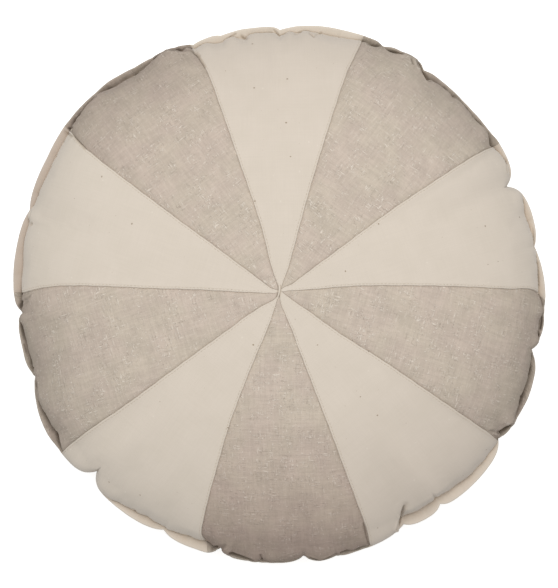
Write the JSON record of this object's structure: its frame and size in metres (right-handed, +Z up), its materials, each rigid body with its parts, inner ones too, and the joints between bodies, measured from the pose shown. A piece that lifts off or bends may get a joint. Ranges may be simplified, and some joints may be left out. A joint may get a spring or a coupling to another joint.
{
  "type": "round patchwork cushion",
  "caption": "Round filled cushion with a crowned face of wedge panels in ecru cotton and taupe linen, a narrow stitched flange and a puckered rim.",
  "frame": {"origin": "on the surface the cushion lies on, under the middle of its outline", "axes": "+Z up out of the crowned face, +Y towards the ecru panel at the top of the face, +X to the right as seen from above"},
  "size_m": [0.4468, 0.452, 0.1291],
  "materials": {
    "ecru_cotton": "plain-weave undyed cotton with sparse seed flecks",
    "taupe_linen": "washed plain-weave linen with slubs",
    "sewing_thread": "fine spun sewing thread"
  },
  "bodies": {
    "root": {"cushion": "ecru_cotton"}
  },
  "joints": []
}
